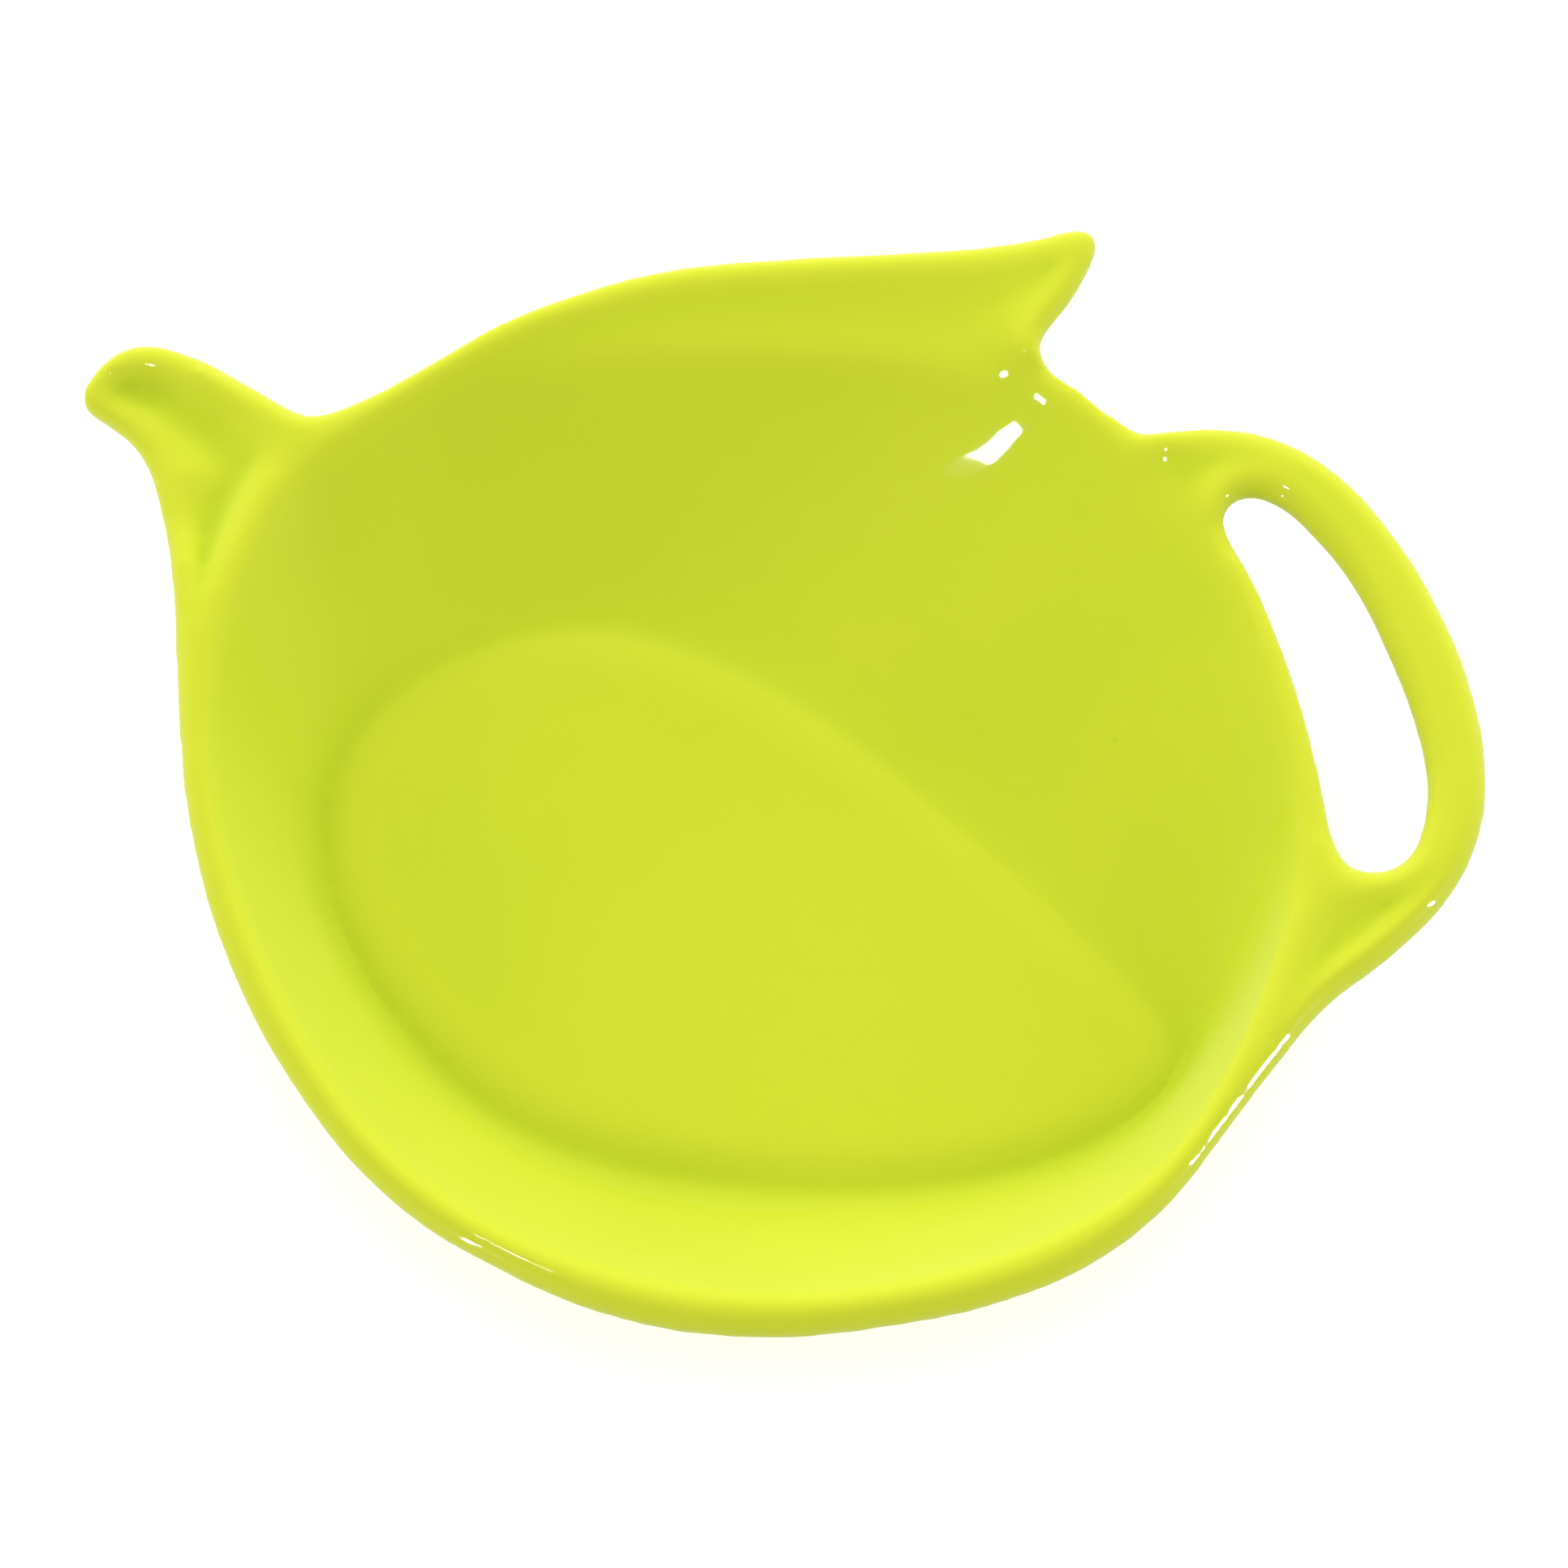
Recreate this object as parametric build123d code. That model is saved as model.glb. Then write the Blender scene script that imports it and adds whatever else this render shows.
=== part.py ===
from build123d import *
import os

os.makedirs("parts", exist_ok=True)

# Tea bag rest: a shallow glazed dish with the outline of a teapot seen from the side.
# The round body of the teapot is the bowl, and spout, lid and loop handle stand out from its rim.
# +X points to the handle, +Y to the lid, +Z up. The origin is on the table, under the middle.

# Body of the teapot, which is the bowl
body_length = 103.5
body_depth = 92.5
total_height = 17.0
floor_height = 4.4
wall_drop = 4.4
wall_margin = 0.9

# Rim flange
flange_thickness = 4.6
edge_radius = 2.0
under_bevel = 1.4

# Spout
spout_reach = 10.2
spout_rise = 35.6
spout_corner_radius = 4.0
spout_tip_radius = 2.1
spout_neck_radius = 3.0
trough_depth = 1.2
trough_slope_width = 1.0

# Lid
lid_length = 57.0
lid_height = 12.9
lid_tip_radius = 2.1
lid_notch_radius = 2.2
lid_dish_depth = 0.7
lid_dish_slope_width = 1.2

# Handle
handle_reach = 13.1
handle_drop = 60.8
handle_neck_radius = 4.0
grip_width = 5.5
gap_bevel = 1.2

# Raised floor and foot
plateau_inset = 3.4
plateau_height = 0.9
plateau_bevel = 0.8
foot_height = 1.4
foot_width = 4.0
foot_bevel = 0.5

# One overrun serves all cuts
overrun = 1.0

# An arc that bends less than this share of its length is a straight line
straight_share = 0.0001

# Places on the body, as shares of its length and depth from its middle
belly_left_shares = [(-0.488, 0.01), (-0.425, -0.195), (-0.307, -0.368), (-0.165, -0.462)]
belly_right_shares = [(0.007, -0.5), (0.16, -0.479), (0.287, -0.425), (0.376, -0.33)]
body_left_share = (-0.5, 0.129)
body_right_share = 0.5
spout_neck_share = (-0.397, 0.423)
shoulder_left_shares = [(-0.273, 0.497), (-0.35, 0.443)]
lid_start_share = (-0.244, 0.5)
lid_notch_share = (0.243, 0.501)
shoulder_right_share = (0.283, 0.454)
handle_neck_share = (0.326, 0.41)
handle_root_share = (0.432, -0.247)

# Places on the spout, as shares of its reach and rise from the left of the body
spout_tip_share = (1.04, 0.823)
spout_lower_shares = [(0.446, 0.7), (0.21, 0.52), (0.07, 0.28)]
spout_upper_share = (-0.05, 0.952)
spout_corner_share = (0.51, 1.011)
trough_shares = [(0.645, 0.852), (0.351, 0.731), (0.096, 0.585), (-0.169, 0.532), (-0.404, 0.619), (-0.414, 0.742),
                 (-0.002, 0.841), (0.41, 0.9)]

# Places on the lid, as shares of its length and height from its left start
lid_tip_share = (1.014, 1.0)
lid_end_shares = [(0.94, 0.354), (0.975, 0.646)]
lid_top_shares = [(0.76, 0.785), (0.473, 0.7), (0.25, 0.56), (0.07, 0.27)]
lid_dish_shares = [(0.23, 0.25), (0.353, 0.11), (0.616, 0.11), (0.827, 0.149), (0.904, 0.381),
                   (0.913, 0.629), (0.739, 0.536), (0.529, 0.49), (0.327, 0.428)]

# Places on the handle, as shares of its reach outside the body and of its drop above its lower root
handle_lower_shares = [(-0.153, 0.104), (0.427, 0.205), (0.863, 0.325)]
handle_upper_shares = [(1.0, 0.465), (0.835, 0.65), (0.557, 0.791), (0.04, 0.934)]
handle_crown_share = (-0.8, 1.01)

# Finger gap, in the handle's shares: down its body side, round its bottom end, and its top end
gap_body_shares = [(-0.553, 0.774), (-0.253, 0.592), (-0.079, 0.422)]
gap_bottom_shares = [(0.015, 0.332), (0.198, 0.304)]
gap_top_shares = [(-0.382, 0.89), (-0.611, 0.903), (-0.74, 0.875)]

# Bowl: the foot of its wall and the inner edge of its rim, place by place, round from the handle side
wall_foot_shares = [(0.37, -0.172), (0.304, -0.072), (0.193, 0.052), (0.056, 0.178), (-0.118, 0.259),
                    (-0.263, 0.226), (-0.35, 0.148), (-0.382, 0.04), (-0.355, -0.092), (-0.273, -0.222),
                    (-0.147, -0.303), (0.046, -0.336), (0.23, -0.317), (0.344, -0.251)]
rim_edge_shares = [(0.452, -0.024), (0.432, 0.154), (0.365, 0.305), (0.236, 0.436), (-0.002, 0.5),
                   (-0.244, 0.461), (-0.387, 0.357), (-0.464, 0.171), (-0.446, -0.043), (-0.345, -0.27),
                   (-0.188, -0.41), (0.046, -0.459), (0.272, -0.384), (0.388, -0.237)]

# Bowl wall from its foot to the rim, inside and outside, as shares of its run and of its rise
inner_profile_shares = [(-0.03, 0.0), (0.12, 0.08), (0.9, 0.91), (1.05, 1.03)]
outer_profile_shares = [(0.0, 0.0), (1.06, 1.1)]


def body_place(share):
    return Vector(body_length * share[0], body_depth * share[1])


def spout_place(share):
    return body_place(body_left_share) + Vector(-spout_reach * share[0], spout_rise * share[1])


def lid_place(share):
    return body_place(lid_start_share) + Vector(lid_length * share[0], lid_height * share[1])


def handle_place(share):
    root = body_place(handle_root_share)
    return Vector(body_length * body_right_share + handle_reach * share[0], root.Y + handle_drop * share[1])


def square_inset(before, place, after, inset):
    # Moves a place to the left of its run, square to the line through its neighbours
    along = (after - before).normalized()
    return place + Vector(-along.Y, along.X) * inset


def ring_inset(places, inset):
    moved = []
    for index, place in enumerate(places):
        after = places[(index + 1) % len(places)]
        moved.append(square_inset(places[index - 1], place, after, inset))
    return moved


def circle_direction(before, place, after):
    # The direction at a place of the circle through it and its neighbours
    come = place - before
    leave = after - place
    return (come / come.length**2 + leave / leave.length**2).normalized()


def end_direction(end, beside, direction):
    # The direction at the end of a run, mirrored from that of the place beside it
    chord = (beside - end).normalized()
    return chord * (2 * chord.dot(direction)) - direction


def arc_edge(start, direction, end):
    chord = end - start
    if abs(direction.cross(chord).Z) < chord.length * straight_share:
        return Edge.make_line(start, end)
    return Edge.make_tangent_arc(start, direction, end)


def arc_pair(start, leave, end, arrive):
    # Two arcs that leave the start and reach the end in the given directions, and share one in between
    gap = end - start
    both = gap.dot(leave + arrive)
    turn = 2 * (1 - leave.dot(arrive))
    if turn < straight_share**2:
        reach = gap.dot(gap) / (4 * gap.dot(arrive))
    else:
        reach = ((both**2 + turn * gap.dot(gap)) ** 0.5 - both) / turn
    meet = (start + leave * reach + end - arrive * reach) / 2
    first = arc_edge(start, leave, meet)
    return [first, arc_edge(meet, first.tangent_at(1), end)]


def arc_run(places):
    # A smooth run of arcs through the places, in their order
    directions = []
    for index in range(1, len(places) - 1):
        directions.append(circle_direction(places[index - 1], places[index], places[index + 1]))
    directions.insert(0, end_direction(places[0], places[1], directions[0]))
    directions.append(end_direction(places[-1], places[-2], directions[-1]))
    edges = []
    for index in range(len(places) - 1):
        edges += arc_pair(places[index], directions[index], places[index + 1], directions[index + 1])
    return edges


def arc_ring_face(places, height):
    # The same, closed on itself and moved to a height
    count = len(places)
    directions = [circle_direction(places[i - 1], places[i], places[(i + 1) % count]) for i in range(count)]
    edges = []
    for index in range(count):
        after = (index + 1) % count
        edges += arc_pair(places[index], directions[index], places[after], directions[after])
    return Pos(0, 0, height) * Face(Wire(edges))


def bowl_ring(run_share, inset=0.0):
    # The bowl's outline somewhere between the foot of its wall and its rim
    places = []
    for foot, edge in zip(wall_foot_shares, rim_edge_shares):
        start = body_place(foot)
        places.append(start + (body_place(edge) - start) * run_share)
    return ring_inset(places, inset)


def wall_loft(profile_shares, drop, margin):
    # Outlines from the floor up to the rim, lowered by the drop and widened by the margin
    rise = total_height - floor_height
    sections = []
    for run_share, rise_share in profile_shares:
        ring = bowl_ring(run_share, -margin)
        sections.append(arc_ring_face(ring, floor_height - drop + rise * rise_share))
    return Solid(loft(sections, ruled=True).wrapped)


def shallow_cut(places, depth, slope_width):
    # A hollow with sloping sides in the flange's top
    sides = slope_width * overrun / depth
    upper = arc_ring_face(ring_inset(places, -sides), total_height + overrun)
    lower = arc_ring_face(ring_inset(places, slope_width), total_height - depth)
    return loft([lower, upper], ruled=True)


def nearest_edge(edges, place):
    flat = Vector(place.X, place.Y)
    return min(edges, key=lambda edge: (Vector(edge.center().X, edge.center().Y) - flat).length)


def flat_edges(solid, height):
    # The edges that lie in one level plane
    level = []
    for edge in solid.edges():
        box = edge.bounding_box()
        if abs(box.min.Z - height) < edge_radius / 8 and abs(box.max.Z - height) < edge_radius / 8:
            level.append(edge)
    return level


def make_flange():
    # One teapot outline: from the spout's tip round the belly and the handle, then back over the lid
    spout_tip = spout_place(spout_tip_share)
    spout_corner = spout_place(spout_corner_share)
    spout_neck = body_place(spout_neck_share)
    lid_tip = lid_place(lid_tip_share)
    lid_notch = body_place(lid_notch_share)
    handle_neck = body_place(handle_neck_share)

    belly = [spout_tip]
    belly += [spout_place(share) for share in spout_lower_shares]
    belly += [body_place(share) for share in [body_left_share] + belly_left_shares + belly_right_shares]
    belly += [body_place(handle_root_share)]
    handle_run = [handle_place(share) for share in handle_lower_shares + handle_upper_shares]
    belly += handle_run + [handle_place(handle_crown_share), handle_neck]
    shoulder = [handle_neck, body_place(shoulder_right_share), lid_notch]
    lid_end = [lid_notch] + [lid_place(share) for share in lid_end_shares] + [lid_tip]
    lid_top = [lid_tip] + [lid_place(share) for share in lid_top_shares]
    lid_top += [body_place(share) for share in shoulder_left_shares] + [spout_neck]
    spout_upper = [spout_neck, spout_place(spout_upper_share), spout_corner]

    stretches = [Edge.make_line(spout_corner, spout_tip)]
    for run in (belly, shoulder, lid_end, lid_top, spout_upper):
        stretches += arc_run(run)
    plate = extrude(Face(Wire(stretches)), amount=flange_thickness, dir=(0, 0, 1))

    corners = [
        (spout_tip, spout_tip_radius),
        (spout_corner, spout_corner_radius),
        (spout_neck, spout_neck_radius),
        (lid_tip, lid_tip_radius),
        (lid_notch, lid_notch_radius),
        (handle_neck, handle_neck_radius),
    ]
    for corner, radius in corners:
        plate = fillet(nearest_edge(plate.edges().filter_by(Axis.Z), corner), radius)

    # A round bead runs along the top of the whole outline
    plate = fillet(flat_edges(plate, flange_thickness), edge_radius)

    # The finger gap keeps the grip's width inside the handle's outline, with a bevel on top
    gap = [handle_place(share) for share in gap_body_shares + gap_bottom_shares]
    for index in range(2, len(handle_run) - 1):
        gap.append(square_inset(handle_run[index - 1], handle_run[index], handle_run[index + 1], grip_width))
    gap += [handle_place(share) for share in gap_top_shares]
    hole = extrude(arc_ring_face(gap, -overrun), amount=flange_thickness + 2 * overrun, dir=(0, 0, 1))
    plate = plate - hole
    gap_edges = []
    for edge in flat_edges(plate, flange_thickness):
        if edge.distance_to(hole) < edge_radius / 8:
            gap_edges.append(edge)
    plate = chamfer(gap_edges, gap_bevel)
    plate = chamfer(flat_edges(plate, 0.0), under_bevel)
    return Pos(0, 0, total_height - flange_thickness) * plate


def make_bowl_shell():
    # The outer wall runs under and around the inner one, down to the plane of the foot
    shell = wall_loft(outer_profile_shares, wall_drop, wall_margin)
    below = Box(2 * body_length, 2 * body_depth, total_height)
    return shell - Pos(0, 0, foot_height - total_height / 2) * below


def make_foot():
    ring = arc_ring_face(bowl_ring(0.0), 0.0) - arc_ring_face(bowl_ring(0.0, foot_width), 0.0)
    ring = extrude(ring, amount=foot_height + overrun, dir=(0, 0, 1))
    return chamfer(flat_edges(ring, 0.0), foot_bevel)


def make_plateau():
    top = floor_height + plateau_height
    base = arc_ring_face(bowl_ring(0.0, plateau_inset), floor_height - overrun)
    plateau = extrude(base, amount=plateau_height + overrun, dir=(0, 0, 1))
    return chamfer(flat_edges(plateau, top), plateau_bevel)


def make_dish():
    dish = make_flange() + make_bowl_shell() + make_foot()
    dish = dish - wall_loft(inner_profile_shares, 0.0, 0.0)
    dish = dish + make_plateau()
    trough = [spout_place(share) for share in trough_shares]
    lid_dish = [lid_place(share) for share in lid_dish_shares]
    dish = dish - shallow_cut(trough, trough_depth, trough_slope_width)
    dish = dish - shallow_cut(lid_dish, lid_dish_depth, lid_dish_slope_width)
    return dish


dish = make_dish()
middle = dish.bounding_box().center()
dish = Pos(-middle.X, -middle.Y, 0) * dish
dish.label = "dish"
export_step(dish, "parts/dish.step")
size = dish.bounding_box().size
print("dish", round(size.X, 2), round(size.Y, 2), round(size.Z, 2), "solids", len(dish.solids()), dish.is_valid)
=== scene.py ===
import math

import bmesh
import bpy
import numpy as np
from bpy.props import FloatProperty, FloatVectorProperty, IntProperty, PointerProperty
from mathutils import Matrix, Vector


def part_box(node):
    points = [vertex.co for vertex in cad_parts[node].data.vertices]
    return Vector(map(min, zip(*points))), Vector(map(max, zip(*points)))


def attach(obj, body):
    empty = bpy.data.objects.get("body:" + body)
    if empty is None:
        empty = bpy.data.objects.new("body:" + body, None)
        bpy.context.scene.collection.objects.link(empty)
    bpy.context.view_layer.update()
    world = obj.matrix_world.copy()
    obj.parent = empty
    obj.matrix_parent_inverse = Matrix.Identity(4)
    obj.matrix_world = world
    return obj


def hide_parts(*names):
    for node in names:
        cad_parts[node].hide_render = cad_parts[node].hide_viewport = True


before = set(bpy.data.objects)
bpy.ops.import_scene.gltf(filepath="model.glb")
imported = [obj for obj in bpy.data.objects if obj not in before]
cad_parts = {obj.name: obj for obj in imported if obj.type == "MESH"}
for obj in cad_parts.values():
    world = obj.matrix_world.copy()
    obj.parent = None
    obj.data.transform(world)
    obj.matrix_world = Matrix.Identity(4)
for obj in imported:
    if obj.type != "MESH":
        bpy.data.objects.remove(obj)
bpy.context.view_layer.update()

bl_info = {
    "name": "Teapot Tea Bag Rest",
    "version": (1, 0, 0),
    "blender": (4, 5, 0),
    "location": "View3D > Sidebar > Tea Rest",
    "description": "A glazed tea bag rest in the outline of a teapot, and the stage it is shown on",
    "category": "Add Mesh",
}

MM = 0.001
RIM_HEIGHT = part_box("dish")[1].z

# Places in plan are millimetres from the middle of the dish: +X to the handle, +Y to the lid.

# Outline of the teapot, from the spout's tip over the lid, round the handle and back along the belly
OUTLINE = [
    (-63.2, 35.7), (-62.3, 37.7), (-60.2, 39.8), (-57.6, 40.7), (-53.2, 39.7), (-48.0, 36.9),
    (-44.6, 34.8), (-43.2, 34.0), (-42.4, 33.7), (-41.4, 33.8), (-39.6, 34.5), (-36.6, 35.8),
    (-30.5, 39.6), (-25.6, 42.6), (-19.5, 45.3), (-10.0, 48.1), (0.0, 49.2), (10.0, 49.8),
    (18.5, 50.4), (24.0, 51.3), (27.6, 52.2), (29.2, 51.7), (29.2, 50.0), (28.2, 47.6),
    (26.5, 44.7), (24.4, 41.9), (23.9, 40.5), (24.7, 38.7), (27.8, 35.9), (31.4, 32.7),
    (33.2, 32.1), (36.0, 32.3), (40.0, 32.5), (45.6, 31.3), (50.5, 28.2), (55.2, 22.7),
    (59.2, 15.5), (62.0, 7.6), (63.1, -0.5), (62.2, -6.7), (59.5, -12.1), (54.2, -17.6),
    (48.2, -22.4), (43.3, -28.4), (39.1, -34.1), (34.4, -40.1), (28.0, -45.3), (20.0, -48.9),
    (10.0, -51.2), (-1.0, -52.2), (-12.5, -50.8), (-24.8, -45.8), (-34.0, -39.6), (-42.0, -30.0),
    (-48.4, -18.0), (-52.2, -5.0), (-53.5, 6.0), (-54.1, 15.8), (-55.5, 24.5), (-57.9, 30.9),
    (-61.5, 34.0), (-62.8, 34.9),
]

# Finger gap inside the handle
FINGER_GAP = [
    (40.3, 23.4), (40.8, 25.2), (42.6, 26.1), (45.2, 25.2), (48.2, 22.3), (51.4, 17.9),
    (54.6, 10.9), (57.0, 3.4), (57.7, -1.5), (57.1, -6.0), (55.5, -8.9), (52.9, -9.9), (50.6, -9.3),
    (49.4, -6.8), (48.5, -1.5), (47.2, 4.4), (45.4, 11.0), (42.5, 18.6),
]

# Bowl: the egg-shaped foot of its wall and, with twice as many places, the edge of its mouth
WALL_FOOT = [
    (35.8, -21.9), (29.0, -13.2), (17.6, -1.9), (3.6, 9.8), (-14.1, 17.7), (-29.1, 14.9),
    (-38.1, 7.7), (-41.2, -2.3), (-38.2, -14.0), (-29.4, -25.4), (-16.7, -32.7), (2.8, -35.7),
    (21.3, -34.1), (32.9, -28.6),
]
MOUTH = [
    (46.4, -8.4), (46.0, 0.7), (43.8, 8.8), (41.0, 16.1), (37.0, 23.2), (31.6, 29.9), (24.4, 35.8),
    (12.2, 39.7), (-1.5, 40.5), (-14.8, 40.3), (-27.4, 38.2), (-36.2, 33.6), (-43.0, 28.9),
    (-47.8, 20.2), (-50.6, 10.2), (-51.0, 0.1), (-48.8, -10.2), (-44.4, -21.2), (-38.3, -31.4),
    (-30.9, -39.1), (-21.7, -44.6), (-10.2, -48.3), (2.9, -49.3), (16.1, -47.0), (27.2, -42.4),
    (34.6, -36.5), (39.6, -28.8), (43.9, -18.8),
]

# At each place of the wall's foot: how straight the wall rises (1 is bowed, more is straighter), and how
# far the mouth's edge lies below the rim, in millimetres, because lid and handle carry on the wall's slope
WALL_STRAIGHTNESS = [1.0, 1.0, 1.0, 1.0, 1.0, 1.08, 1.18, 1.2, 1.18, 1.08, 1.0, 1.0, 1.0, 1.0]
MOUTH_DROP = [0.3, 0.8, 1.8, 2.3, 2.3, 1.7, 0.3, 0.0, 0.0, 0.0, 0.0, 0.0, 0.0, 0.0]

# Bowl wall, as shares of its run and of its rise. The inside eases out of the floor, the outside is
# nearly straight
INNER_WALL = [
    (0.03, 0.003), (0.08, 0.018), (0.15, 0.057), (0.24, 0.125), (0.34, 0.214), (0.45, 0.323),
    (0.56, 0.440), (0.68, 0.576), (0.8, 0.724), (0.9, 0.857), (0.97, 0.956), (1.03, 1.044), (1.08, 1.10),
]
OUTER_WALL = [(0.0, 0.0), (0.5, 0.48), (1.04, 1.0)]

# Step round the raised floor, as insets from the foot of the wall in millimetres and shares of its rise
FLOOR_STEP = [
    (3.6, 1.0), (3.1, 0.985), (2.7, 0.94), (2.3, 0.85), (1.9, 0.71), (1.5, 0.53), (1.1, 0.34),
    (0.7, 0.17), (0.3, 0.05), (0.0, 0.01),
]

# Hollows in the flange: a line through each, its depth and its reach in millimetres. A closed hollow
# stays clear of the raised edges, an open one runs out over them, as the underlip of the spout does
CLOSED_HOLLOWS = [
    ([(-62.2, 36.0), (-56.0, 35.2), (-51.5, 32.0), (-48.9, 28.6), (-50.8, 22.0), (-52.7, 16.0)],
     1.5, 3.0),
    ([(24.5, 44.0), (26.6, 48.0), (28.0, 50.8)], 0.8, 1.7),
    ([(57.0, -12.6), (50.5, -16.5), (45.8, -22.5), (42.0, -28.5)], 0.9, 2.6),
]
OPEN_HOLLOWS = [
    ([(-64.0, 35.0), (-60.2, 32.6), (-57.2, 28.8), (-55.6, 24.0)], 1.7, 4.6),
]

# Points round each ring of the bowl, and the finer steps between them that its curve is measured at
RING_POINTS = 192
FINE_STEPS = 8

# Outline of the flange: straight runs between two of its places, the angle from which an edge is sharp,
# and how near to the rim's height such an edge lies
OUTLINE_STEPS = 8
SHARP_ANGLE = 1.0
RIM_TOLERANCE = 0.1 * MM

# The body that hollows the bowl opens out past its mouth and ends above the rim
HOLLOW_END_RUN = 1.1
HOLLOW_END_LIFT = 3.0 * MM

# Lengths that count as nothing and as far away
TINY = 0.01 * MM
FAR = 1.0

# Slope of the flange towards the bowl: how much the nearest part of the mouth counts, and how the slope
# eases off towards the outline
NEARNESS_POWER = -4.0
EASE_POWER = 1.5

# Underside of the flange: how far below it points still belong to the flange, how near to its level and
# how far down they face, and the share of the top's hollows that it follows
FLANGE_MARGIN = 0.2 * MM
UNDERSIDE_MARGIN = 0.3 * MM
FACING_DOWN = -0.9
UNDERSIDE_SHARE = 0.8

# Sponging: the strength of one round, the rounds over the seams, and those that even out all hollows
SPONGE_FACTOR = 0.5
SEAM_ROUNDS = 24
HOLLOW_ROUNDS = 40
WEIGHT_LEVELS = 10

# Seams that are sponged more: the mouth and the step round the raised floor. Each has its place on the
# wall's run, the levels between which it lies, and the reach of the sponging to both sides
SEAMS = [
    (1.0, RIM_HEIGHT - 5 * MM, RIM_HEIGHT, 2.2 * MM),
    (0.0, 3 * MM, 7 * MM, 3.0 * MM),
]
SEAM_MARGIN = 1 * MM
SEAM_WEIGHT = 1.6

# Length of the slow waves in the glaze, in metres
WAVE_SCALE = 0.011

# Glaze colour: the depth of a hollow, in millimetres, from which its colour is deepest, the slow drift in
# thickness, and where pooled, usual and thin glaze lie on the scale of thickness. The deeper colour in
# hollows is partly pooled glaze and partly painted shade in creases
POOL_AND_SHADE_DEPTH = 0.20
DRIFT_SCALE = 28.0
DRIFT_DETAIL = 3.0
DRIFT_RANGE = (0.3, 0.7)
DRIFT_SHARE = 0.12
POOL_AND_SHADE_AT = 0.1
USUAL_AT = 0.5
THIN_AT = 0.95

# Pinholes: how densely they could lie, their core and edge, and the share of places that have none
PINHOLE_SCALE = 130.0
PINHOLE_EDGE = (0.03, 0.05)
PINHOLE_RARITY = 0.82

# Bare clay under the foot: heights in metres between which the glaze ends, how unevenly it ends, and the
# clay's roughness
WIPED_HEIGHT = (0.0006, 0.0008)
WIPED_WOBBLE = 0.0006
CLAY_ROUGHNESS = 0.75

# Gloss: fine ripples with their height in metres, a weak mirror in the body, a thin clear coat, and a haze
# that pales the glaze where it is seen at a low angle
RIPPLE_SCALE = 260.0
RIPPLE_DETAIL = 2.0
RIPPLE_HEIGHT = 0.00004
GLAZE_IOR = 1.08
COAT_WEIGHT = 0.2
COAT_ROUGHNESS = 0.03
HAZE_WEIGHT = 0.25
HAZE_ROUGHNESS = 0.5

# Sockets of the Mix node where it mixes colours
MIX_SHARE, MIX_FIRST, MIX_SECOND, MIX_RESULT = 0, 6, 7, 2

# Stage, in metres: the floor with the glow that makes it white to the camera, the middle of the dish, which
# all lamps point at, and the wide key lamp behind the dish
FLOOR_SIZE = 6.0
FLOOR_GLOW = 0.5
WHITE = (1.0, 1.0, 1.0, 1.0)
DISH_MIDDLE = (0.0, 0.0, 0.01)
KEY_PLACE = (0.08, 1.1, 0.45)
KEY_SIZE = (1.0, 0.7)
KEY_COLOUR = (1.0, 0.9, 0.72)

# Soft boxes: name, place and share of the side power
BOX_SIZE = (0.6, 0.6)
BOXES = [
    ("left_box", (-1.1, 0.2, 0.28), 0.75),
    ("right_box", (1.1, 0.2, 0.4), 0.5),
]

# Lamps that only show as glints: name, place, width and length, and share of the glint power
GLINTS = [
    ("left_glint", (-0.252, -0.203, 0.772), (0.034, 0.038), 0.22),
    ("front_glint", (-0.62, -0.76, 0.17), (0.025, 0.3), 1.6),
    ("right_glint", (0.92, -0.37, 0.17), (0.03, 0.34), 2.4),
]

# Camera: what it points at, and its sensor and lens in millimetres
CAMERA_AIM = Vector((0.62 * MM, -1.63 * MM, 15.2 * MM))
CAMERA_SENSOR = 36.0
CAMERA_LENS = 155.06


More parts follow.
